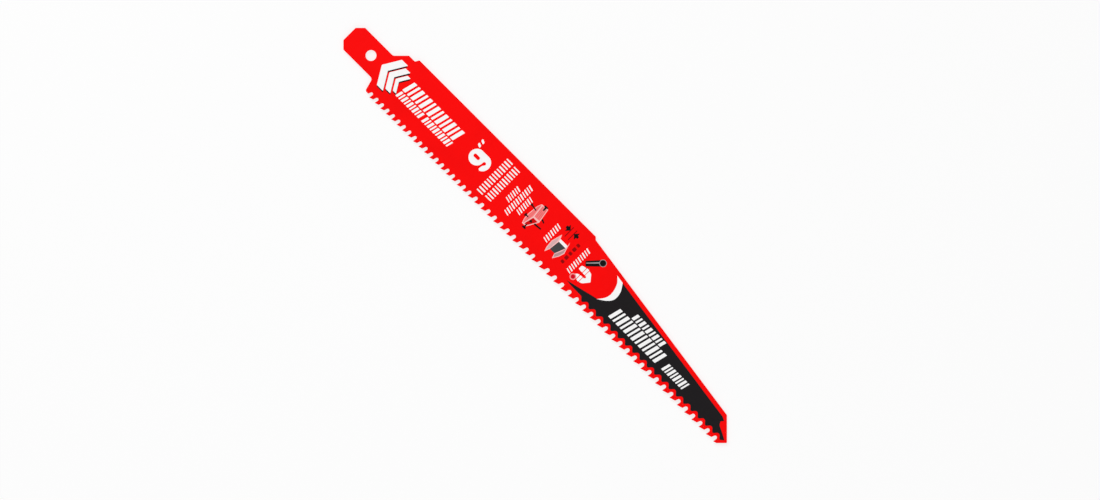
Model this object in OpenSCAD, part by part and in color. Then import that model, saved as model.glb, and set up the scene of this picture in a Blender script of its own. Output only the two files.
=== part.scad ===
// Reciprocating saw blade with carbide tips.
// The origin is the centre of the tang's hole at mid-thickness. +X runs to the nose,
// +Y to the back and +Z out of the flat side, so the teeth point to -Y.

/* [Blade] */
// Overall length, end of the tang to the nose
blade_len = 228.6; // [190:0.1:245]
// Height, tooth points to back
blade_h = 25.4; // [23:0.1:32]
// Thickness of the steel
blade_t = 1.27; // [0.9:0.01:1.5]

/* [Tang] */
// Width of the tang
tang_w = 12.7; // [10:0.1:14]
// End of the tang to its upper shoulder
tang_len = 19; // [16:0.1:24]
// Corners cut off the tang's end at 45 degrees
tang_corner = 2.8; // [1:0.1:4]
// Diameter of the tang's hole
hole_d = 4.5; // [3:0.1:6]
// End of the tang to the centre of its hole
hole_from_end = 12.5; // [9:0.1:14]
// Inside radius where the tang meets its shoulders
shoulder_r = 1.5; // [0.5:0.1:2]
// Slope of the upper shoulder
upper_shoulder_angle = 45; // [40:1:70]
// Slope of the lower shoulder
lower_shoulder_angle = 75; // [70:1:85]

/* [Back] */
// Length of the short land between the upper shoulder and the full back
land_len = 3.4; // [2:0.1:8]
// Depth of that land below the back
land_drop = 1.7; // [0.8:0.1:2.4]
// Slope from the land up to the back
land_slope = 60; // [45:1:80]
// End of the tang to the small step in the back
step_start = 130.6; // [110:0.1:150]
// Depth of that step, cut at 45 degrees
step_drop = 1; // [0.5:0.1:2]
// Fall of the back from the step to the nose
taper_angle = 8.15; // [5:0.05:9]
// Rounding of the corners along the back
back_r = 0.5; // [0.2:0.1:1]

/* [Nose] */
// Slope of the nose edge above its point
nose_angle = 45; // [40:1:75]
// Slope of the nose edge below its point
nose_low_angle = 45; // [35:1:60]
// Height of the nose's point above the tooth points
nose_lift = 3.5; // [2.5:0.1:4.5]
// Least steel on the last flank behind its tip
nose_backing = 0.1; // [0.1:0.05:0.6]
// Rounding of the nose's point
nose_r = 0.4; // [0.2:0.1:1.5]
// Rounding of the nose corner beside the back
nose_back_r = 0.6; // [0.2:0.1:4]

/* [Heel] */
// End of the tang to the corner of the plain heel ahead of the teeth
heel_start = 21.1; // [19:0.1:26]
// Length of the heel, from its corner to the first tooth point
heel_len = 3.1; // [2.6:0.1:8]
// Height of the heel's edge above the tooth points
heel_lift = 0.8; // [0.4:0.1:1.2]
// Rounding of the heel's corner
heel_r = 1; // [0.4:0.1:1.2]

/* [Teeth] */
// Pitch of the fine teeth, eight to the inch
fine_pitch = 3.175; // [2.9:0.005:3.8]
// Pitch of the coarse teeth, six to the inch
coarse_pitch = 4.2333; // [3.8:0.0001:5]
// Number of fine teeth, beside the tang
fine_teeth = 19; // [8:1:22]
// Number of teeth at the pitch between fine and coarse
middle_teeth = 10; // [4:1:16]
// Radius of the gullets between fine teeth
fine_gullet_r = 0.68; // [0.5:0.01:0.75]
// Radius of the gullets between coarse teeth
coarse_gullet_r = 0.82; // [0.6:0.01:1]
// Hook of the cutting face towards the tang
rake_angle = 11; // [5:1:15]
// Rise of the flank behind the tooth point
clearance_angle = 16.5; // [12:0.5:20]
// Lean of the gullet's back wall
wall_angle = 19; // [12:1:24]
// Rounding between a tooth's flank and its back wall
tooth_heel_r = 0.4; // [0.1:0.05:0.5]

/* [Carbide tips] */
// Height of a tip along the cutting face
tip_h = 1.3; // [0.9:0.05:1.8]
// Steel on the cutting face between a tip and the gullet's curve
face_land = 0.2; // [0.1:0.05:0.6]
// Steel on the flank behind a tip, on the tooth with the shortest flank
tip_backing = 0.35; // [0.3:0.05:0.7]
// How far a tip's cutting edge stands out from the steel on each side
tip_overhang = 0.215; // [0.16:0.005:0.4]
// Side relief of a tip, from its edge up to its seat
tip_relief_up = 3; // [1:0.5:4]
// Side relief of a tip, from its cutting face back
tip_relief_back = 2; // [1:0.5:3]

/* [Hidden] */
arc_step = 14;
spare = 1;
tooth_y = -blade_h / 2;
back_y = blade_h / 2;
land_y = back_y - land_drop;
heel_y = tooth_y + heel_lift;
tang_end_x = -hole_from_end;
nose_x = blade_len - hole_from_end;
upper_shoulder_x = from_end(tang_len);
land_x = upper_shoulder_x + (land_y - tang_w / 2) / tan(upper_shoulder_angle);
back_x = land_x + land_len + land_drop / tan(land_slope);
step_x = from_end(step_start);
heel_x = from_end(heel_start);
lower_shoulder_x = heel_x + (heel_y + tang_w / 2) / tan(lower_shoulder_angle);
middle_pitch = (fine_pitch + coarse_pitch) / 2;
middle_gullet_r = (fine_gullet_r + coarse_gullet_r) / 2;
tip_w = blade_t + 2 * tip_overhang;
flank = [cos(clearance_angle), sin(clearance_angle)];
rake = [sin(rake_angle), cos(rake_angle)];
wall = [sin(wall_angle), cos(wall_angle)];

// The nose's sharp point lies so far out that its rounding ends at the nose
nose_reach = nose_r * (cos(nose_angle) + cos(nose_low_angle)) / sin(nose_angle + nose_low_angle) - nose_r;
nose_point = [nose_x + nose_reach, tooth_y + nose_lift];

// Teeth are counted from 0 at the tang. All tips are one size, as long as the shortest flank allows.
graded_teeth = fine_teeth + middle_teeth;
tip_len = min(flank_len(0), flank_len(fine_teeth), flank_len(graded_teeth)) - tip_backing;

// Coarse teeth fill what the others and the nose leave
last_flank = (tip_len + nose_backing) * cos(clearance_angle);
nose_run = last_flank + (nose_lift - last_flank * tan(clearance_angle)) / tan(nose_low_angle);
coarse_room = nose_point[0] - nose_run - point_x(graded_teeth - 1);
teeth = graded_teeth + floor(coarse_room / coarse_pitch);

function tip_name(i) = str("carbide_tip_", i < 9 ? "0" : "", i + 1);

// Distance along the blade of a place measured from the tang's end
function from_end(distance) = distance - hole_from_end;

// Where tooth i has its point
function point_x(i) = heel_x + heel_len
    + min(i, fine_teeth - 1) * fine_pitch
    + max(0, min(i, graded_teeth - 1) - fine_teeth + 1) * middle_pitch
    + max(0, i - graded_teeth + 1) * coarse_pitch;
function point(i) = [point_x(i), tooth_y];

// The gullet ahead of tooth i curves away from the top of that tooth's cutting face
function gullet_r(i) = i < fine_teeth ? fine_gullet_r
    : i < graded_teeth ? middle_gullet_r
    : coarse_gullet_r;
function face_top(i) = point(i) + (tip_h + face_land) * rake;
function gullet_centre(i) = face_top(i) + gullet_r(i) * [-rake[1], rake[0]];
function gullet_top(i) = gullet_centre(i) + [0, gullet_r(i)];
function wall_top(i) = gullet_centre(i) + gullet_r(i) * [-wall[1], wall[0]];

// Where the wall of gullet i comes down to the flank of the tooth before it, or to the heel
function tooth_heel(i) =
    let (
        top = wall_top(i),
        foot = i > 0 ? point(i - 1) : [0, heel_y],
        slope = i > 0 ? tan(clearance_angle) : 0,
        fall = (top[1] - foot[1] - (top[0] - foot[0]) * slope) / (wall[1] - wall[0] * slope)
    )
    top - fall * wall;

function flank_len(i) = norm(tooth_heel(i + 1) - point(i));

// The seat of tip i is cut parallel to the tooth's flank and to its cutting face
function seat_front(i) = point(i) + tip_h * rake;
function seat_corner(i) = point(i) + tip_h * rake + tip_len * flank;
function seat_back(i) = point(i) + tip_len * flank;

// Points of an arc round c, from one of its ends to the other the short way
function arc(c, r, start, end) =
    let (
        a = atan2(start[1] - c[1], start[0] - c[0]),
        b = atan2(end[1] - c[1], end[0] - c[0]),
        turn = b - a > 180 ? b - a - 360 : b - a < -180 ? b - a + 360 : b - a,
        n = 2 * max(1, ceil(abs(turn) / arc_step / 2))
    )
    [for (k = [0 : n]) c + r * [cos(a + turn * k / n), sin(a + turn * k / n)]];

// The corner at b, between a and d, rounded with radius r
function rounded(a, b, d, r) =
    let (
        to_a = (a - b) / norm(a - b),
        to_d = (d - b) / norm(d - b),
        half = acos(to_a * to_d) / 2,
        middle = (to_a + to_d) / norm(to_a + to_d),
        reach = r / tan(half)
    )
    arc(b + middle * r / sin(half), r, b + to_a * reach, b + to_d * reach);

// A run of corners, each [x, y, radius], rounded between its neighbours
function xy(p) = [p[0], p[1]];
function run(p) = [
    for (k = [1 : len(p) - 2])
        each p[k][2] > 0
            ? rounded(xy(p[k - 1]), xy(p[k]), xy(p[k + 1]), p[k][2])
            : [xy(p[k])]
];

// The edge from the heel to the last tooth, gullet by gullet
function before_heel(i) = i > 0 ? seat_back(i - 1) : [heel_x, heel_y];
toothed_edge = [
    for (i = [0 : teeth - 1])
        each concat(
            rounded(before_heel(i), tooth_heel(i), wall_top(i), tooth_heel_r),
            arc(gullet_centre(i), gullet_r(i), wall_top(i), gullet_top(i)),
            arc(gullet_centre(i), gullet_r(i), gullet_top(i), face_top(i)),
            [seat_front(i), seat_corner(i), seat_back(i)]
        )
];

// The last flank runs on to the nose's lower edge, which rises to the point.
// The upper edge goes on from there to the taper.
last_point = point(teeth - 1);
flank_slope = tan(clearance_angle);
low_slope = tan(nose_low_angle);
nose_foot_x = (low_slope * nose_point[0] - nose_point[1] + last_point[1] - flank_slope * last_point[0])
    / (low_slope - flank_slope);
nose_foot = [nose_foot_x, last_point[1] + flank_slope * (nose_foot_x - last_point[0])];
step_foot = [step_x + step_drop, back_y - step_drop];
taper_y = step_foot[1] - (nose_point[0] - step_foot[0]) * tan(taper_angle);
nose_back = (taper_y - nose_point[1]) / (tan(nose_angle) - tan(taper_angle));
nose_high = nose_point + nose_back * [-1, tan(nose_angle)];

upper_edge = run([
    concat(seat_back(teeth - 1), 0),
    concat(nose_foot, 0),
    concat(nose_point, nose_r),
    concat(nose_high, nose_back_r),
    concat(step_foot, back_r),
    [step_x, back_y, back_r],
    [back_x, back_y, back_r],
    [land_x + land_len, land_y, back_r],
    [land_x, land_y, back_r],
    [upper_shoulder_x, tang_w / 2, shoulder_r],
    [tang_end_x + tang_corner, tang_w / 2, back_r],
    [tang_end_x, tang_w / 2 - tang_corner, back_r],
    [tang_end_x, -tang_w / 2 + tang_corner, back_r],
    [tang_end_x + tang_corner, -tang_w / 2, back_r],
    [lower_shoulder_x, -tang_w / 2, shoulder_r],
    [heel_x, heel_y, heel_r],
    concat(tooth_heel(0), 0)
]);

module blade_body() {
    color("red")
    difference() {
        linear_extrude(height = blade_t, center = true)
            polygon(concat(toothed_edge, upper_edge));
        cylinder(h = blade_t + 2 * spare, d = hole_d, center = true, $fn = 64);
    }
}

// A tip's outline, seen from the side of the blade
module tip_outline() {
    polygon([[0, 0], tip_len * flank, tip_h * rake + tip_len * flank, tip_h * rake]);
}

// All that lies under one ground side of a tip, which falls away from its cutting corner
module under_ground_side() {
    stock = 4 * (tip_len + tip_h);
    translate([0, 0, tip_w / 2])
        rotate([-tip_relief_up, tip_relief_back, 0])
            translate([-stock / 2, -stock / 2, -stock])
                cube(stock);
}

module carbide_tip(i) {
    color("silver")
    translate(concat(point(i), 0))
        intersection() {
            linear_extrude(height = tip_w + 2 * spare, center = true) tip_outline();
            under_ground_side();
            mirror([0, 0, 1]) under_ground_side();
        }
}

blade_body();
for (i = [0 : teeth - 1])
    carbide_tip(i);
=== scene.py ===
"""A reciprocating saw blade: paint, printed side, ground carbide tips, floor, lamps and camera."""

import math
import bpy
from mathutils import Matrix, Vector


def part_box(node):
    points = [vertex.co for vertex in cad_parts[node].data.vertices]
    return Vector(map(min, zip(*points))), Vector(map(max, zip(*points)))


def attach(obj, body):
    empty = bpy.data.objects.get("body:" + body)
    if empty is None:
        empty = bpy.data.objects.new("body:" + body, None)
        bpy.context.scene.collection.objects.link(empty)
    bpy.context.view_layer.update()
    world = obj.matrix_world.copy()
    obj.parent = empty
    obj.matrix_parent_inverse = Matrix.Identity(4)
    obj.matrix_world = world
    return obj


bl_info = {
    "name": "Saw Blade Finish",
    "version": (1, 0, 0),
    "blender": (4, 5, 0),
    "location": "3D View > Sidebar > Saw Blade",
    "description": "Paints and prints a reciprocating saw blade and sets it on a lit floor",
    "category": "Object",
}

import bmesh
import bpy
from bpy.props import FloatProperty, FloatVectorProperty, IntProperty, PointerProperty
from mathutils import Matrix, Vector
from mathutils.geometry import tessellate_polygon

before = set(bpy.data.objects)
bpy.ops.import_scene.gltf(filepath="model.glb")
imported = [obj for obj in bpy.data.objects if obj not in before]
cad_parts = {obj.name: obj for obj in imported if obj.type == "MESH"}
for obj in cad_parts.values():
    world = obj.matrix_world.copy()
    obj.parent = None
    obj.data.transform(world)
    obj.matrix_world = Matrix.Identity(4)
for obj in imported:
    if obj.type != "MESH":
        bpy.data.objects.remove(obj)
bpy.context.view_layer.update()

MM = 0.001
BODY = "blade_body"
TIPS = sorted(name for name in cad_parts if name.startswith("carbide_tip_"))

# Places read from the solids, in millimetres
FACE_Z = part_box(BODY)[1].z / MM
REST_Z = min(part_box(name)[0].z for name in TIPS) / MM
POINT_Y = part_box(TIPS[0])[0].y / MM
POINTS_X = [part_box(name)[0].x / MM for name in TIPS]

# Where the tapered back of the steel starts, in millimetres, and how it falls to the nose, in degrees
TAPER_FOOT = (119.1, 11.7)
TAPER_ANGLE = 8.15
# Distance between the points of the coarse teeth, in millimetres
COARSE_PITCH = POINTS_X[-1] - POINTS_X[-2]

# Facets closer than this, in millimetres, are joined, and a bend below this angle, in degrees, is flat
JOIN_WITHIN = 0.001
FLAT_BELOW = 0.6
# An edge with a bend above this angle, in degrees, is rounded
SHARP_ABOVE = 40.0

# Specular level of the satin paint and the inks, and roughness of the dark inks
SHEEN = 0.08
DARK_ROUGHNESS = 0.46
# How far a film of ink reaches down into the steel, in millimetres, so that no gap shows
FILM_ROOT = 0.01

# Scallops of the dark field behind the last tooth, and how far each one's top lies before its tooth's point
SCALLOPS = 19
SCALLOP_LEAD = 0.13
# Exponent that makes the scallops' troughs narrower than their tops
SCALLOP_SHARPNESS = 1.25
# Lean of the printed marks, in degrees, and how wide they are by turns in bold and in fine rows
LEAN = 14.0
BOLD_PAIR = (1.6, 1.0)
FINE_PAIR = (1.0, 1.35)

# Width of the camera's sensor, in millimetres
SENSOR = 36.0


def length(name, text, millimetres):
    """A length that a user may change, kept in metres."""
    return FloatProperty(
        name=name, description=text, default=millimetres * MM, min=0.0, precision=6, unit="LENGTH"
    )


def share(name, text, value):
    """A number from 0 to 1 that a user may change."""
    return FloatProperty(name=name, description=text, default=value, min=0.0, max=1.0, subtype="FACTOR")


def colour(name, text, value):
    """A colour that a user may change."""
    return FloatVectorProperty(
        name=name, description=text, default=value, size=3, min=0.0, max=1.0, subtype="COLOR"
    )


class SawBladePaint(bpy.types.PropertyGroup):
    """Colours and finish of the painted steel and the ground carbide"""

    red: colour("Paint", "Colour of the paint on the steel", (1.0, 0.0, 0.0))
    deep_red: colour("Deep paint", "Paint where it lies a little thicker", (0.90, 0.0, 0.0))
    carbide: colour("Carbide", "Colour of the ground carbide", (0.46, 0.47, 0.49))
    roughness: share("Paint roughness", "Roughness of the paint", 0.42)
    peel: share("Orange peel", "Strength of the ripple in the paint", 0.65)
    edge: length("Edge rounding", "Rounding of the painted edges of the steel", 0.08)
    tip_edge: length("Tip edge rounding", "Rounding of the edges of a carbide tip", 0.025)


class SawBladePrint(bpy.types.PropertyGroup):
    """Inks and sizes of the print"""

    white: colour("White ink", "Colour of the white ink", (0.99, 0.985, 0.985))
    field: colour("Field ink", "Colour of the dark field", (0.0085, 0.0070, 0.0080))
    black: colour("Black ink", "Colour of the small pictures and the arrow's shadow", (0.001, 0.001, 0.001))
    grey: colour("Grey ink", "Colour of the shaded web of the beam", (0.052, 0.056, 0.057))
    pale: colour("Pale grey ink", "Colour of the shaded flanges", (0.70, 0.44, 0.44))
    shine: colour("Shine ink", "Colour of the light line and the ring of the pipe", (0.34, 0.31, 0.31))
    wood: colour("Wood ink", "Colour of the faces of the board", (1.0, 0.20, 0.20))
    pale_edge: colour("Pale edge ink", "Colour of the edges of the board and the beam", (1.0, 0.55, 0.54))
    pink: colour("Pink ink", "Colour of the rim of the elbow's mouth", (0.95, 0.32, 0.32))
    bore_red: colour("Bore ink", "Colour inside the mouth of the elbow", (0.68, 0.0, 0.012))
    dark_red: colour("Dark red ink", "Colour of the faint marks on the paint", (0.30, 0.0, 0.0))
    film: length("Ink film", "Thickness of one layer of ink", 0.014)
    corner: length("Mark corner", "Rounding of the corners of a printed mark", 0.16)
    bold_cover: share("Bold ink share", "Share of a bold row of marks that is ink", 0.61)
    fine_cover: share("Fine ink share", "Share of a fine row of marks that is ink", 0.46)
    back_margin: length("Margin to the back", "Paint left between the dark field and the taper", 1.8)
    tooth_margin: length("Margin above teeth", "Height of a scallop's top over the tooth points", 3.92)
    scallop: length("Scallop depth", "How far the dark field hangs down between two gullets", 1.56)
    curve_steps: IntProperty(name="Curve steps", description="Steps in each printed curve", default=10, min=4)


class SawBladeStage(bpy.types.PropertyGroup):
    """Floor, lamps and camera"""

    floor_side: FloatProperty(
        name="Floor side", description="Side of the floor", default=9.0, min=1.0, unit="LENGTH"
    )
    floor_tone: share("Floor tone", "Whiteness of the floor", 0.95)
    floor_lift: share("Floor lift", "How much of the floor's white needs no lamp", 0.75)
    sky: share("Sky", "Light from all round", 0.45)
    key: FloatProperty(name="Key lamp", description="Power of the large lamp", default=11.2, unit="POWER")
    fill: FloatProperty(name="Fill lamp", description="Power of the soft lamp", default=7.6, unit="POWER")
    lens: FloatProperty(
        name="Lens", description="Focal length of the camera", default=200.0, min=1.0, unit="CAMERA"
    )
    view_width: FloatProperty(
        name="View width", description="Width of the picture at the blade", default=0.45246, unit="LENGTH"
    )
    aim_x: FloatProperty(
        name="Aim along", description="Middle of the picture", default=0.10866, unit="LENGTH", precision=5
    )
    aim_y: FloatProperty(
        name="Aim across", description="Middle of the picture", default=-0.00451, unit="LENGTH", precision=5
    )


class Flow:
    """One socket of a node tree. Arithmetic on it adds the nodes that work the result out."""

    def __init__(self, tree, socket=None):
        self.tree = tree
        self.socket = socket

    def add(self, kind, settings=None, inputs=None, output=0):
        """Adds a node: its settings first, then the values and links of its sockets."""
        node = self.tree.nodes.new(kind)
        for name, value in (settings or {}).items():
            setattr(node, name, value)
        for name, value in (inputs or {}).items():
            if isinstance(value, Flow):
                self.tree.links.new(value.socket, node.inputs[name])
            else:
                node.inputs[name].default_value = value
        return Flow(self.tree, node.outputs[output] if len(node.outputs) else None)

    def out(self, name):
        """Another output of the same node."""
        return Flow(self.tree, self.socket.node.outputs[name])

    def maths(self, operation, first, second):
        """The result of a Math node."""
        return self.add("ShaderNodeMath", {"operation": operation}, {0: first, 1: second})

    def __add__(self, other):
        return self.maths("ADD", self, other)

    def __radd__(self, other):
        return self.maths("ADD", other, self)

    def __sub__(self, other):
        return self.maths("SUBTRACT", self, other)

    def __rsub__(self, other):
        return self.maths("SUBTRACT", other, self)

    def __mul__(self, other):
        return self.maths("MULTIPLY", self, other)

    def __rmul__(self, other):
        return self.maths("MULTIPLY", other, self)


def start_material(name):
    """An empty material of that name, and a flow to build it from."""
    material = bpy.data.materials.get(name) or bpy.data.materials.new(name)
    material.use_nodes = True
    material.node_tree.nodes.clear()
    return material, Flow(material.node_tree)


def place_on_blade(flow, stretch=(1.0, 1.0, 1.0)):
    """Where a point lies on the object, in millimetres, stretched along each axis."""
    where = flow.add("ShaderNodeTexCoord").out("Object")
    scale = tuple(s / MM for s in stretch)
    return flow.add("ShaderNodeVectorMath", {"operation": "MULTIPLY"}, {0: where, 1: scale})


def grain(flow, per_mm, detail=2.0, stretch=(1.0, 1.0, 1.0)):
    """Smooth noise about 0.5 with that many waves to the millimetre."""
    return flow.add(
        "ShaderNodeTexNoise",
        {"noise_dimensions": "3D"},
        {"Vector": place_on_blade(flow, stretch), "Scale": per_mm, "Detail": detail, "Roughness": 0.55},
    )


def blend(flow, factor, first, second):
    """A colour between two others. Each may be a colour or a flow."""
    tones = [c if isinstance(c, Flow) else (*c, 1.0) for c in (first, second)]
    return flow.add(
        "ShaderNodeMix", {"data_type": "RGBA"}, {0: factor, 6: tones[0], 7: tones[1]}, output=2
    )


def steep(flow, value, low, high):
    """0 below low, 1 above high, and a smooth rise between them."""
    return flow.add(
        "ShaderNodeMapRange",
        {"interpolation_type": "SMOOTHSTEP"},
        {"Value": value, "From Min": low, "From Max": high},
    )


def finish_surface(flow, **looks):
    """A Principled surface whose sockets are named with underscores, and the material's output."""
    inputs = {name.replace("_", " "): value for name, value in looks.items()}
    surface = flow.add("ShaderNodeBsdfPrincipled", inputs=inputs)
    flow.add("ShaderNodeOutputMaterial", inputs={"Surface": surface})


def ripple(flow, strength, depth_mm, *waves):
    """A bump of that depth from the sum of the waves."""
    height = waves[0]
    for wave in waves[1:]:
        height = height + wave
    return flow.add(
        "ShaderNodeBump", inputs={"Strength": strength, "Distance": depth_mm * MM, "Height": height}
    )


def paint_colour(flow, look):
    """The red paint, a little deeper in soft patches."""
    patches = grain(flow, 0.06, 3.0)
    flecks = grain(flow, 1.7, 2.0)
    thick = steep(flow, patches * 0.75 + flecks * 0.25, 0.42, 0.68)
    return blend(flow, thick * 0.55, look.red, look.deep_red)


def paint_normal(flow, look):
    """The ripple of sprayed paint with fine dust in it."""
    return ripple(flow, look.peel, 0.05, grain(flow, 0.85, 1.5), grain(flow, 6.0, 1.0) * 0.18)


def paint_roughness(flow, look):
    """Satin paint with fine rub marks along the blade."""
    rubs = steep(flow, grain(flow, 1.0, 4.0, (0.06, 3.2, 1.0)), 0.52, 0.70)
    clouds = grain(flow, 0.2, 2.0)
    return look.roughness - 0.04 + clouds * 0.08 + rubs * 0.05


def painted_steel(look):
    """Red paint over the steel."""
    material, flow = start_material("red_paint")
    finish_surface(
        flow,
        Base_Color=paint_colour(flow, look),
        Roughness=paint_roughness(flow, look),
        Normal=paint_normal(flow, look),
        Specular_IOR_Level=SHEEN,
    )
    return material


def ground_carbide(look):
    """Carbide with grinding lines on its ground faces, and paint left on its sides."""
    material, flow = start_material("ground_carbide")
    across = flow.add(
        "ShaderNodeVectorMath",
        {"operation": "DOT_PRODUCT"},
        {0: flow.add("ShaderNodeTexCoord").out("Normal"), 1: (0.0, 0.0, 1.0)},
    ).out("Value")
    side = steep(flow, flow.maths("ABSOLUTE", across, 0.0), 0.62, 0.80)
    lines = grain(flow, 2.2, 3.0, (7.0, 7.0, 0.5))
    grey = blend(flow, lines, [0.72 * c for c in look.carbide], [1.25 * c for c in look.carbide])
    finish_surface(
        flow,
        Base_Color=blend(flow, side, grey, paint_colour(flow, look)),
        Metallic=1.0 - side,
        Roughness=(0.24 + lines * 0.22) * (1.0 - side) + paint_roughness(flow, look) * side,
        Normal=ripple(flow, 0.25, 0.03, lines),
        Specular_IOR_Level=SHEEN,
    )
    return material


def ink(name, tone, roughness=0.5):
    """Screen printed ink: an even film with faint mottle and a slight grain."""
    material, flow = start_material(name)
    mottle = steep(flow, grain(flow, 0.35, 3.0) * 0.5 + grain(flow, 7.0, 2.0) * 0.5, 0.34, 0.62)
    thin = [0.95 * c for c in tone]
    full = [min(1.0, 1.01 * c) for c in tone]
    finish_surface(
        flow,
        Base_Color=blend(flow, mottle, thin, full),
        Roughness=roughness - 0.05 + mottle * 0.1,
        Normal=ripple(flow, 0.12, 0.02, grain(flow, 1.1, 2.0), grain(flow, 9.0, 1.0) * 0.3),
        Specular_IOR_Level=SHEEN,
    )
    return material


def white_ink(look):
    """The ink of the marks."""
    return ink("white_ink", look.white)


def black_ink(look):
    """The ink of the small pictures and of the arrowheads' shadow."""
    return ink("black_ink", look.black, DARK_ROUGHNESS)


def arc(centre, radius, start, end, steps):
    """Points of an arc, from one angle in degrees to another. The radius may differ along x and y."""
    across, up = radius if isinstance(radius, tuple) else (radius, radius)
    angles = [math.radians(start + (end - start) * k / steps) for k in range(steps + 1)]
    return [(centre[0] + across * math.cos(a), centre[1] + up * math.sin(a)) for a in angles]


def circle(centre, radius):
    """Points of a circle, 15 degrees apart."""
    return arc(centre, radius, 0.0, 345.0, 23)


def through(points, steps):
    """A smooth curve through the points."""
    ends = [points[0], *points, points[-1]]
    curve = []
    for a, b, c, d in zip(ends, ends[1:], ends[2:], ends[3:]):
        for k in range(steps):
            t = k / steps
            curve.append(tuple(
                0.5 * (2 * q + (r - p) * t + (2 * p - 5 * q + 4 * r - s) * t * t
                       + (3 * q - p - 3 * r + s) * t ** 3)
                for p, q, r, s in zip(a, b, c, d)
            ))
    return curve + [tuple(points[-1])]


def soft(ring, radius, steps=4):
    """The ring with its corners rounded. A corner may give a radius of its own, as a third number."""
    points = [Vector(p[:2]) for p in ring]
    rounded = []
    for k, corner in enumerate(points):
        own = ring[k][2] if len(ring[k]) > 2 else radius
        to_last = points[k - 1] - corner
        to_next = points[(k + 1) % len(points)] - corner
        reach = min(own, 0.49 * to_last.length, 0.49 * to_next.length)
        start = corner + to_last.normalized() * reach
        end = corner + to_next.normalized() * reach
        for step in range(steps + 1):
            t = step / steps
            rounded.append(tuple((1 - t) ** 2 * start + 2 * t * (1 - t) * corner + t * t * end))
    return rounded


def moved(ring, along, up):
    """The ring shifted."""
    return [(x + along, y + up) for x, y in ring]


def bar(start, end, wide, wide_end=None):
    """A straight stroke between two points, which may widen."""
    a, b = Vector(start), Vector(end)
    side = (b - a).orthogonal().normalized() / 2
    last = side * (wide if wide_end is None else wide_end)
    first = side * wide
    return [tuple(a + first), tuple(a - first), tuple(b - last), tuple(b + last)]


def leaning_mark(at, wide, high, lean):
    """A slanted block that stands on the line and leans forward."""
    shift = high * math.tan(math.radians(lean))
    return [(at, 0.0), (at + wide, 0.0), (at + wide + shift, high), (at + shift, high)]


def mark_row(long, high, count, pair, cover, lean, corner):
    """A row of slanted marks, by turns as wide as the pair tells. Ink covers that share of its length."""
    widths = [pair[k % 2] for k in range(count)]
    room = long - high * math.tan(math.radians(lean))
    unit = cover * room / sum(widths)
    gap = (1.0 - cover) * room / (count - 1)
    rings = []
    at = 0.0
    for wide in widths:
        rings.append(soft(leaning_mark(at, wide * unit, high, lean), corner))
        at += wide * unit + gap
    return rings


def turned(rings, left, low):
    """Rings drawn along +X, turned to run along +Y with their tops towards the tang."""
    return [[(left - up, low + along) for along, up in ring] for ring in rings]


def new_piece(name, mesh, material):
    """An object of the print that rides on the blade. An older one of the same name goes."""
    old = bpy.data.objects.get(name)
    if old:
        bpy.data.objects.remove(old)
    piece = bpy.data.objects.new(name, mesh)
    bpy.context.scene.collection.objects.link(piece)
    mesh.materials.append(material)
    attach(piece, "root")


def print_film(name, shapes, material, layer, side=1):
    """Closed plates of ink on one side of the steel. A shape is its outline and then its holes, in mm."""
    look = bpy.context.scene.saw_blade_print
    low = side * (FACE_Z - FILM_ROOT) * MM
    high = side * (FACE_Z * MM + look.film * layer)
    build = bmesh.new()
    for rings in shapes:
        flat = [[Vector((x * MM, y * MM, 0.0)) for x, y in ring] for ring in rings]
        corners = [p for ring in flat for p in ring]
        bottom = [build.verts.new((p.x, p.y, low)) for p in corners]
        top = [build.verts.new((p.x, p.y, high)) for p in corners]
        for a, b, c in tessellate_polygon(flat):
            build.faces.new((top[a], top[b], top[c]))
            build.faces.new((bottom[c], bottom[b], bottom[a]))
        first = 0
        for ring in flat:
            for k in range(len(ring)):
                a = first + k
                b = first + (k + 1) % len(ring)
                build.faces.new((bottom[a], bottom[b], top[b], top[a]))
            first += len(ring)
    bmesh.ops.recalc_face_normals(build, faces=build.faces)
    mesh = bpy.data.meshes.new(name)
    build.to_mesh(mesh)
    build.free()
    new_piece(name, mesh, material)


def filled(rings):
    """Each ring as a shape of its own, without holes."""
    return [[ring] for ring in rings]


def smooth_shading():
    """A node group that shades a mesh smooth, so that weighted normals can act on it."""
    name = "shade_smooth"
    group = bpy.data.node_groups.get(name)
    if group:
        return group
    group = bpy.data.node_groups.new(name, "GeometryNodeTree")
    group.interface.new_socket("Geometry", in_out="INPUT", socket_type="NodeSocketGeometry")
    group.interface.new_socket("Geometry", in_out="OUTPUT", socket_type="NodeSocketGeometry")
    last = group.nodes.new("NodeGroupInput").outputs[0]
    for domain in ("EDGE", "FACE"):
        shade = group.nodes.new("GeometryNodeSetShadeSmooth")
        shade.domain = domain
        group.links.new(last, shade.inputs["Geometry"])
        last = shade.outputs["Geometry"]
    group.links.new(last, group.nodes.new("NodeGroupOutput").inputs[0])
    return group


def round_edges(node, width):
    """Joins a solid's facets, rounds its sharp edges and shades it smooth."""
    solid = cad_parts[node]
    solid.modifiers.clear()
    weld = solid.modifiers.new("join", "WELD")
    weld.merge_threshold = JOIN_WITHIN * MM
    flat = solid.modifiers.new("flatten", "DECIMATE")
    flat.decimate_type = "DISSOLVE"
    flat.angle_limit = math.radians(FLAT_BELOW)
    edge = solid.modifiers.new("round", "BEVEL")
    edge.width = width
    edge.segments = 2
    edge.limit_method = "ANGLE"
    edge.angle_limit = math.radians(SHARP_ABOVE)
    edge.use_clamp_overlap = False
    shade = solid.modifiers.new("shade", "NODES")
    shade.node_group = smooth_shading()
    normals = solid.modifiers.new("normals", "WEIGHTED_NORMAL")
    normals.mode = "FACE_AREA"
    normals.weight = 50
    return solid


def give_material(solid, material):
    """Puts one material in a solid's only slot."""
    solid.data.materials.clear()
    solid.data.materials.append(material)


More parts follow.
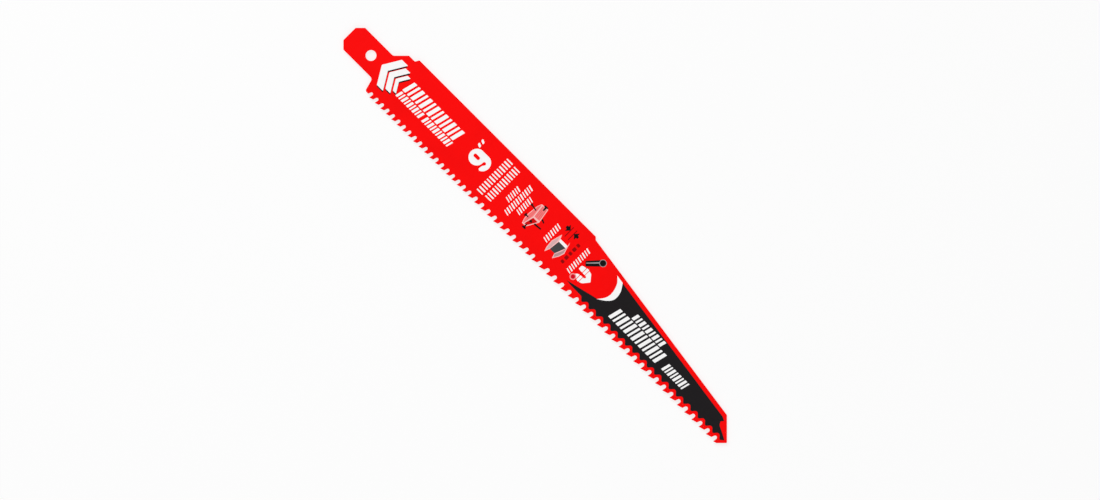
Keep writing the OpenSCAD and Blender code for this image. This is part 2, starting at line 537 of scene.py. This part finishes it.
class SAWBLADE_OT_paint_body(bpy.types.Operator):
    """Rounds the edges of the steel and paints it"""

    bl_idname = "sawblade.paint_body"
    bl_label = "Paint the blade"

    def execute(self, context):
        look = context.scene.saw_blade_paint
        give_material(round_edges(BODY, look.edge), painted_steel(look))
        return {"FINISHED"}


class SAWBLADE_OT_grind_tips(bpy.types.Operator):
    """Gives the carbide tips their ground faces and painted sides"""

    bl_idname = "sawblade.grind_tips"
    bl_label = "Grind the tips"

    def execute(self, context):
        look = context.scene.saw_blade_paint
        material = ground_carbide(look)
        for name in TIPS:
            give_material(round_edges(name, look.tip_edge), material)
        return {"FINISHED"}


def field_outline(look):
    """The dark field: down the taper, in at the nose, and scalloped round the gullets."""
    steps = look.curve_steps
    fall = math.tan(math.radians(TAPER_ANGLE))
    drop = look.back_margin / MM / math.cos(math.radians(TAPER_ANGLE))
    upper = [(x, TAPER_FOOT[1] - drop - fall * (x - TAPER_FOOT[0])) for x in (138.2, 207.4)]
    nose = [(209.0, -3.6)] + through([(208.15, -4.8), (209.1, -6.2), (212.0, -7.65), (214.75, -9.15)], steps)
    high = POINT_Y + look.tooth_margin / MM
    wave = []
    for k in range(round((SCALLOPS + 0.5) * steps) + 1):
        turn = 0.5 - k / steps
        hang = (1 - math.cos(2 * math.pi * turn)) / 2
        depth = look.scallop / MM * hang ** SCALLOP_SHARPNESS
        wave.append((POINTS_X[-1] + (turn - SCALLOP_LEAD) * COARSE_PITCH, high - depth))
    tail = [(125.5, high + 0.05), (122.2, high + 0.35), (125.8, -7.6), (129.6, -6.7), (133.3, -5.75)]
    under_crescent = [(136.9, -4.95), (138.9, -3.2), (140.5, -0.4), (140.4, 2.6), (139.4, 5.2)]
    return upper + nose + wave + tail + under_crescent


def crescent_outline(look):
    """The white crescent at the head of the dark field."""
    outer = [(139.4, 7.05), (141.5, 3.6), (141.8, -0.1), (140.0, -2.75), (136.5, -5.2)]
    inner = [(136.5, -5.2), (138.75, -2.0), (139.2, 1.3), (138.0, 5.15), (135.7, 7.6)]
    return through(outer, look.curve_steps)[:-1] + through(inner, look.curve_steps)


class SAWBLADE_OT_print_field(bpy.types.Operator):
    """Prints the dark field with its crescent on both sides of the blade"""

    bl_idname = "sawblade.print_field"
    bl_label = "Print the dark field"

    def execute(self, context):
        look = context.scene.saw_blade_print
        dark = ink("field_ink", look.field, DARK_ROUGHNESS)
        white = white_ink(look)
        for side, name in ((1, "front"), (-1, "back")):
            print_film("dark_field_" + name, [[field_outline(look)]], dark, 1, side)
            print_film("crescent_" + name, [[crescent_outline(look)]], white, 2, side)
        return {"FINISHED"}


class SAWBLADE_OT_print_field_marks(bpy.types.Operator):
    """Prints the rows of white marks on the dark field"""

    bl_idname = "sawblade.print_field_marks"
    bl_label = "Print marks on the field"

    def execute(self, context):
        look = context.scene.saw_blade_print
        rows = []
        for left, low, long, high, count in (
            (152.2, -0.7, 17.4, 3.0, 9),
            (144.8, -6.9, 28.6, 5.7, 13),
            (175.5, -6.8, 12.9, 3.8, 8),
        ):
            marks = mark_row(long, high, count, BOLD_PAIR, look.bold_cover, LEAN, look.corner / MM)
            rows += [moved(ring, left, low) for ring in marks]
        print_film("field_marks", filled(rows), white_ink(look), 2)
        return {"FINISHED"}


def arrow_rings():
    """Three nested arrowheads towards the tang, each smaller than the one before it."""
    rings = []
    for tip, reach, thick in ((5.9, 7.3, 3.5), (10.3, 5.9, 2.8), (14.0, 4.3, 1.8)):
        sweep = 0.60 * reach
        middle = 0.45
        rings.append([
            (tip, middle),
            (tip + sweep, middle + reach),
            (tip + sweep + thick, middle + reach),
            (tip + thick, middle),
            (tip + sweep + thick, middle - reach),
            (tip + sweep, middle - reach),
        ])
    return rings


class SAWBLADE_OT_print_arrow(bpy.types.Operator):
    """Prints the arrow that shows the cutting stroke, with its shadow"""

    bl_idname = "sawblade.print_arrow"
    bl_label = "Print the arrow"

    def execute(self, context):
        look = context.scene.saw_blade_print
        rings = [soft(ring, 0.3) for ring in arrow_rings()]
        shadow = [moved(ring, 0.4, -0.45) for ring in rings]
        print_film("arrow_shadow", filled(shadow), black_ink(look), 1)
        print_film("arrow", filled(rings), white_ink(look), 2)
        return {"FINISHED"}


class SAWBLADE_OT_print_title(bpy.types.Operator):
    """Prints the two rows of bold marks beside the arrow"""

    bl_idname = "sawblade.print_title"
    bl_label = "Print the title marks"

    def execute(self, context):
        look = context.scene.saw_blade_print
        rings = []
        for left, low, long, high, count in (
            (19.1, -0.9, 30.8, 5.7, 13),
            (18.6, -4.5, 14.2, 3.0, 9),
            (33.6, -4.5, 15.7, 3.0, 10),
        ):
            marks = mark_row(long, high, count, BOLD_PAIR, look.bold_cover, LEAN, look.corner / MM)
            rings += [moved(ring, left, low) for ring in marks]
        print_film("title_marks", filled(rings), white_ink(look), 1)
        return {"FINISHED"}


def numeral_shape(steps):
    """A bold nine, 7 mm wide and 10.2 mm high, as its outline and its hole."""
    foot = arc((3.5, 3.3), (3.5, 3.3), 200.0, 360.0, 2 * steps)
    head = arc((3.5, 6.75), (3.5, 3.45), 0.0, 180.0, 2 * steps)
    bowl = arc((3.3, 6.9), (3.3, 3.5), 185.0, 275.0, steps)
    slit = arc((3.6, 2.66), (0.8, 0.76), 80.0, -90.0, steps)
    end = through([slit[-1], (2.95, 2.3), (2.4, 2.68), (0.9, 2.88), (0.45, 2.7), foot[0]], steps // 2)
    hole = [(2.8, 5.35), (4.3, 5.35), (4.3, 8.45), (2.8, 8.45)]
    return [foot + head + bowl + slit + end[1:-1], soft(hole, 0.8, steps)]


class SAWBLADE_OT_print_length(bpy.types.Operator):
    """Prints the blade's length in inches"""

    bl_idname = "sawblade.print_length"
    bl_label = "Print the length"

    def execute(self, context):
        look = context.scene.saw_blade_print
        numeral = turned(numeral_shape(look.curve_steps), 67.15, -2.25)
        strokes = [soft(leaning_mark(at, 1.1, 1.65, 22.0), 0.5) for at in (6.85, 8.85)]
        shapes = [numeral] + filled(turned(strokes, 58.5, -2.25))
        print_film("length_numeral", shapes, white_ink(look), 1)
        return {"FINISHED"}


# Rows of marks across the blade: lowest y, length, line, height, lean and number of marks
USE_ROWS = (
    (-8.2, 17.9, 72.95, 3.3, 0.0, 13),
    (-7.7, 17.1, 77.35, 3.3, 0.0, 13),
    (-2.7, 7.3, 83.0, 2.5, LEAN, 6),
    (-6.9, 15.4, 86.4, 2.6, LEAN, 12),
    (-3.3, 8.4, 89.75, 2.5, LEAN, 7),
    (-3.4, 8.9, 105.6, 2.5, LEAN, 7),
    (-5.7, 12.6, 121.3, 2.4, LEAN, 10),
)


class SAWBLADE_OT_print_uses(bpy.types.Operator):
    """Prints the rows of marks that run across the blade"""

    bl_idname = "sawblade.print_uses"
    bl_label = "Print the cross rows"

    def execute(self, context):
        look = context.scene.saw_blade_print
        rings = []
        for low, long, line, high, lean, count in USE_ROWS:
            marks = mark_row(long, high, count, FINE_PAIR, look.fine_cover, lean, look.corner / MM)
            rings += turned(marks, line, low)
        print_film("use_marks", filled(rings), white_ink(look), 1)
        faint = turned(mark_row(10.4, 1.5, 5, FINE_PAIR, 0.68, 0.0, 0.3), 116.4, -4.8)
        print_film("faint_marks", filled(faint), ink("dark_red_ink", look.dark_red), 1)
        return {"FINISHED"}


class SAWBLADE_OT_print_board(bpy.types.Operator):
    """Prints the picture of a board with nails in it"""

    bl_idname = "sawblade.print_board"
    bl_label = "Print the board"

    def execute(self, context):
        look = context.scene.saw_blade_print
        outline = [
            (93.0, 6.45), (96.5, 6.65), (97.55, 0.3), (94.85, -4.55),
            (92.6, -4.8), (91.85, -2.5), (91.75, 0.0), (92.2, 4.5),
        ]
        side = [
            (93.0, 6.05), (93.3, 5.95), (93.95, 0.4), (93.0, -4.3),
            (92.75, -4.35), (92.15, -2.4), (92.05, 0.0), (92.5, 4.4),
        ]
        front = [(93.75, 6.2), (96.25, 6.3), (97.15, 0.8), (94.4, 0.7)]
        end = [(94.4, 0.0), (97.0, 0.0), (94.65, -4.1), (93.4, -4.2)]
        print_film("board_edges", [[soft(outline, 0.3)]], ink("pale_edge_ink", look.pale_edge), 1)
        faces = [soft(side, 0.2), soft(front, 0.15)]
        print_film("board_faces", filled(faces), ink("wood_ink", look.wood, 0.55), 2)
        end_ink = ink("end_ink", [2.2 * c for c in look.dark_red], 0.55)
        print_film("board_end", [[soft(end, 0.12)]], end_ink, 2)
        streaks = [
            bar((94.2, 5.9), (94.6, 1.1), 0.16),
            bar((94.9, 4.9), (95.2, 1.1), 0.22),
            bar((95.6, 4.2), (96.1, 1.0), 0.26),
            bar((96.0, 5.9), (96.7, 1.4), 0.16),
            bar((92.55, 4.6), (92.35, -3.2), 0.14),
            bar((93.05, 5.4), (93.2, -3.0), 0.16),
        ]
        print_film("board_grain", filled(streaks), ink("grain_ink", [0.72 * c for c in look.wood], 0.55), 3)
        shafts = []
        heads = []
        for start, stop, wide, head in (
            ((95.15, 6.8), (95.3, 4.95), 0.9, 1.75),
            ((90.15, 3.45), (93.15, 2.9), 0.65, 1.05),
            ((91.2, -1.25), (92.8, -1.25), 0.6, 1.45),
            ((94.45, -5.5), (94.35, -3.7), 0.7, 1.75),
            ((97.5, 2.1), (99.15, 1.4), 0.75, 0.0),
            ((96.5, -1.5), (100.0, -1.15), 0.8, 0.0),
            ((94.9, -2.2), (94.6, -1.2), 1.2, 0.0),
        ):
            shafts.append(soft(bar(start, stop, wide, 0.7 * wide), 0.15))
            if head:
                ahead = (Vector(stop) - Vector(start)).normalized() * 0.35
                heads.append(soft(bar(Vector(start) - ahead, Vector(start) + ahead, head), 0.25))
        black = black_ink(look)
        print_film("board_nails", filled(shafts), black, 4)
        print_film("board_nail_heads", filled(heads), black, 5)
        return {"FINISHED"}


class SAWBLADE_OT_print_beam(bpy.types.Operator):
    """Prints the picture of a steel beam with its thickness marks"""

    bl_idname = "sawblade.print_beam"
    bl_label = "Print the beam"

    def execute(self, context):
        look = context.scene.saw_blade_print
        left = [
            (107.7, 3.5), (108.5, 1.75), (108.8, 0.5), (108.3, -4.2),
            (107.35, -6.5), (106.7, -4.6), (106.4, -1.2),
        ]
        right = [
            (112.4, 3.6), (113.05, 1.3), (113.9, -1.5), (113.15, -3.8),
            (111.6, -6.4), (110.9, -4.2), (112.7, 0.4),
        ]
        sill = [(108.3, 1.75), (112.9, 1.75), (112.9, 0.5), (108.6, 0.5)]
        flanges = filled([soft(left, 0.2), soft(right, 0.2)])
        print_film("beam_sill", [[sill]], white_ink(look), 1)
        print_film("beam_flanges", flanges, ink("pale_edge_ink", look.pale_edge), 2)
        shades = [
            [(107.6, 2.2), (108.25, 0.3), (108.05, -3.6), (107.4, -5.5), (106.95, -3.6), (106.75, -1.1)],
            [(112.95, 0.6), (113.5, -1.5), (112.85, -3.6), (111.75, -5.6), (111.15, -4.3), (112.5, -1.4)],
        ]
        for place, shade, ring in zip(("left", "right"), (1.0, 0.7), shades):
            tone = ink("flange_ink_" + place, [shade * c for c in look.pale])
            print_film("beam_shade_" + place, [[soft(ring, 0.15)]], tone, 3)
        web = [(108.6, 0.48), (113.0, 0.48), (111.1, -4.2), (108.1, -4.2)]
        print_film("beam_web", [[web]], ink("grey_ink", look.grey, 0.5), 1)
        arrows = []
        for tail, ahead in ((106.6, 1.0), (113.4, -1.0)):
            arrow = [
                (0.0, 0.5), (0.75, 0.65), (0.8, 1.75), (2.4, 0.0),
                (0.8, -1.75), (0.75, -0.65), (0.0, -0.5),
            ]
            arrows.append([(tail + ahead * x, 7.15 + y) for x, y in arrow])
        print_film("beam_arrows", filled(arrows), black_ink(look), 2)
        lines = [bar((x, 9.0), (x, 3.7), 0.4) for x in (109.0, 110.95)]
        print_film("beam_lines", filled(lines), ink("dark_red_ink", look.dark_red), 1)
        return {"FINISHED"}


class SAWBLADE_OT_print_pipes(bpy.types.Operator):
    """Prints the picture of a black pipe and a white elbow"""

    bl_idname = "sawblade.print_pipes"
    bl_label = "Print the pipes"

    def execute(self, context):
        look = context.scene.saw_blade_print
        steps = look.curve_steps
        black = black_ink(look)
        shine = ink("shine_ink", look.shine)
        mouth = (127.95, 7.05)
        print_film("pipe_run", [[soft(bar((122.95, 1.85), (127.5, 6.55), 2.25, 2.65), 0.4)]], black, 1)
        print_film("pipe_rim", [[circle(mouth, 1.55)]], shine, 3)
        print_film("pipe_bore", [[circle(mouth, 1.3)]], black, 4)
        print_film("pipe_shine", [[bar((123.0, 2.2), (126.8, 6.15), 0.4, 0.6)]], shine, 2)
        bend = [(126.3, 0.8), (127.6, 0.55, 0.9), (129.85, -2.2), (127.6, -5.0, 0.9), (126.3, -5.4)]
        bend = soft(bend + [(126.3, -3.05)], 0.25) + arc((126.2, -2.3), (1.0, 0.6), -85.0, 85.0, steps)
        collars = [
            soft([(122.4, 0.35, 0.8), (122.45, -1.6), (124.55, -1.7), (124.55, 0.8)], 0.25),
            soft([(124.85, 1.0), (124.85, -1.75), (126.05, -1.75), (126.05, 1.0)], 0.2),
            soft([(124.85, -2.95), (124.85, -5.4), (126.05, -5.55), (126.05, -2.9)], 0.2),
            soft([(122.6, -4.4), (123.6, -3.35), (124.55, -3.05), (124.55, -5.2), (123.4, -5.3)], 0.3),
        ]
        middle = (123.05, -5.55)
        mouth_ring = [circle(middle, 1.4), circle(middle, 0.9)]
        print_film("elbow", [[bend]] + filled(collars), white_ink(look), 1)
        print_film("elbow_mouth", [mouth_ring], ink("pink_ink", look.pink), 2)
        print_film("elbow_bore", [[circle(middle, 0.95)]], ink("bore_ink", look.bore_red), 3)
        return {"FINISHED"}


def seen_by_eye(flow):
    """1 where the camera, a reflection or a clear body sees the surface."""
    path = flow.add("ShaderNodeLightPath")
    seen = flow.maths("MAXIMUM", path.out("Is Camera Ray"), path.out("Is Glossy Ray"))
    return flow.maths("MAXIMUM", seen, path.out("Is Transmission Ray"))


def pale_floor(look):
    """A white floor that keeps soft shadows."""
    material, flow = start_material("pale_floor")
    tone = look.floor_tone
    mottle = grain(flow, 0.004, 3.0)
    lit = flow.add(
        "ShaderNodeBsdfDiffuse",
        inputs={"Color": blend(flow, mottle, (tone, tone, tone), (tone + 0.02, tone + 0.02, tone + 0.02))},
    )
    glow = flow.add("ShaderNodeEmission", inputs={"Color": (1.0, 1.0, 1.0, 1.0), "Strength": 1.0})
    mixed = flow.add(
        "ShaderNodeMixShader", inputs={"Fac": seen_by_eye(flow) * look.floor_lift, 1: lit, 2: glow}
    )
    flow.add("ShaderNodeOutputMaterial", inputs={"Surface": mixed})
    return material


def set_sky(look):
    """Even light from all round, seen as white."""
    world = bpy.data.worlds.get("plain_sky") or bpy.data.worlds.new("plain_sky")
    bpy.context.scene.world = world
    world.use_nodes = True
    world.node_tree.nodes.clear()
    flow = Flow(world.node_tree)
    light = flow.add("ShaderNodeBackground", inputs={"Color": (1.0, 1.0, 1.0, 1.0), "Strength": look.sky})
    shown = flow.add("ShaderNodeBackground", inputs={"Color": (1.0, 1.0, 1.0, 1.0), "Strength": 1.0})
    mixed = flow.add("ShaderNodeMixShader", inputs={"Fac": seen_by_eye(flow), 1: light, 2: shown})
    flow.add("ShaderNodeOutputWorld", inputs={"Surface": mixed})


def set_lamp(name, power, side, place, aim):
    """A square lamp that faces the middle of the blade and isn't seen itself."""
    data = bpy.data.lights.get(name) or bpy.data.lights.new(name, "AREA")
    data.shape = "SQUARE"
    data.size = side
    data.energy = power
    lamp = bpy.data.objects.get(name) or bpy.data.objects.new(name, data)
    if lamp.name not in bpy.context.scene.collection.objects:
        bpy.context.scene.collection.objects.link(lamp)
    lamp.location = aim + Vector(place)
    lamp.rotation_mode = "QUATERNION"
    lamp.rotation_quaternion = (-Vector(place)).to_track_quat("-Z", "Y")
    lamp.visible_camera = False


def set_camera(look):
    """A camera straight above the blade, which sees it run down to the right."""
    data = bpy.data.cameras.get("view") or bpy.data.cameras.new("view")
    camera = bpy.data.objects.get("view") or bpy.data.objects.new("view", data)
    if camera.name not in bpy.context.scene.collection.objects:
        bpy.context.scene.collection.objects.link(camera)
    data.lens = look.lens
    data.sensor_width = SENSOR
    data.clip_start = 0.1
    data.clip_end = 30.0
    distance = look.view_width * look.lens / SENSOR
    turn = Matrix.Rotation(math.radians(45.0), 4, "Z")
    place = Vector((look.aim_x, look.aim_y, FACE_Z * MM + distance))
    camera.matrix_world = Matrix.Translation(place) @ turn
    bpy.context.scene.camera = camera


class SAWBLADE_OT_set_stage(bpy.types.Operator):
    """Sets the floor, the sky, the lamps and the camera"""

    bl_idname = "sawblade.set_stage"
    bl_label = "Set the stage"

    def execute(self, context):
        look = context.scene.saw_blade_stage
        old = bpy.data.objects.get("floor")
        if old:
            bpy.data.objects.remove(old)
        half = look.floor_side / 2
        low = REST_Z * MM
        mesh = bpy.data.meshes.new("floor")
        mesh.from_pydata(
            [(-half, -half, low), (half, -half, low), (half, half, low), (-half, half, low)],
            [],
            [(0, 1, 2, 3)],
        )
        mesh.materials.append(pale_floor(look))
        floor = bpy.data.objects.new("floor", mesh)
        context.scene.collection.objects.link(floor)
        set_sky(look)
        aim = Vector((look.aim_x, look.aim_y, 0.0))
        set_lamp("key_lamp", look.key, 0.9, (-0.95, 0.35, 1.15), aim)
        set_lamp("fill_lamp", look.fill, 1.2, (0.95, -0.75, 0.95), aim)
        set_camera(look)
        context.scene.view_settings.view_transform = "Standard"
        return {"FINISHED"}


STEPS = (
    SAWBLADE_OT_set_stage,
    SAWBLADE_OT_paint_body,
    SAWBLADE_OT_grind_tips,
    SAWBLADE_OT_print_field,
    SAWBLADE_OT_print_field_marks,
    SAWBLADE_OT_print_arrow,
    SAWBLADE_OT_print_title,
    SAWBLADE_OT_print_length,
    SAWBLADE_OT_print_uses,
    SAWBLADE_OT_print_board,
    SAWBLADE_OT_print_beam,
    SAWBLADE_OT_print_pipes,
)

SETTINGS = (
    ("saw_blade_paint", SawBladePaint),
    ("saw_blade_print", SawBladePrint),
    ("saw_blade_stage", SawBladeStage),
)


class SAWBLADE_PT_finish(bpy.types.Panel):
    """Lists the steps that finish the blade, and their sizes and colours"""

    bl_idname = "SAWBLADE_PT_finish"
    bl_label = "Saw Blade"
    bl_space_type = "VIEW_3D"
    bl_region_type = "UI"
    bl_category = "Saw Blade"

    def draw(self, context):
        for step in STEPS:
            self.layout.operator(step.bl_idname)
        for name, group in SETTINGS:
            box = self.layout.box()
            for entry in group.__annotations__:
                box.prop(getattr(context.scene, name), entry)


def register():
    for name, group in SETTINGS:
        bpy.utils.register_class(group)
        setattr(bpy.types.Scene, name, PointerProperty(type=group))
    for step in STEPS:
        bpy.utils.register_class(step)
    bpy.utils.register_class(SAWBLADE_PT_finish)


def unregister():
    bpy.utils.unregister_class(SAWBLADE_PT_finish)
    for step in reversed(STEPS):
        bpy.utils.unregister_class(step)
    for name, group in reversed(SETTINGS):
        delattr(bpy.types.Scene, name)
        bpy.utils.unregister_class(group)


def main():
    """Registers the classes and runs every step."""
    register()
    for step in STEPS:
        getattr(bpy.ops.sawblade, step.bl_idname.split(".")[1])()


if __name__ == "__main__":
    main()
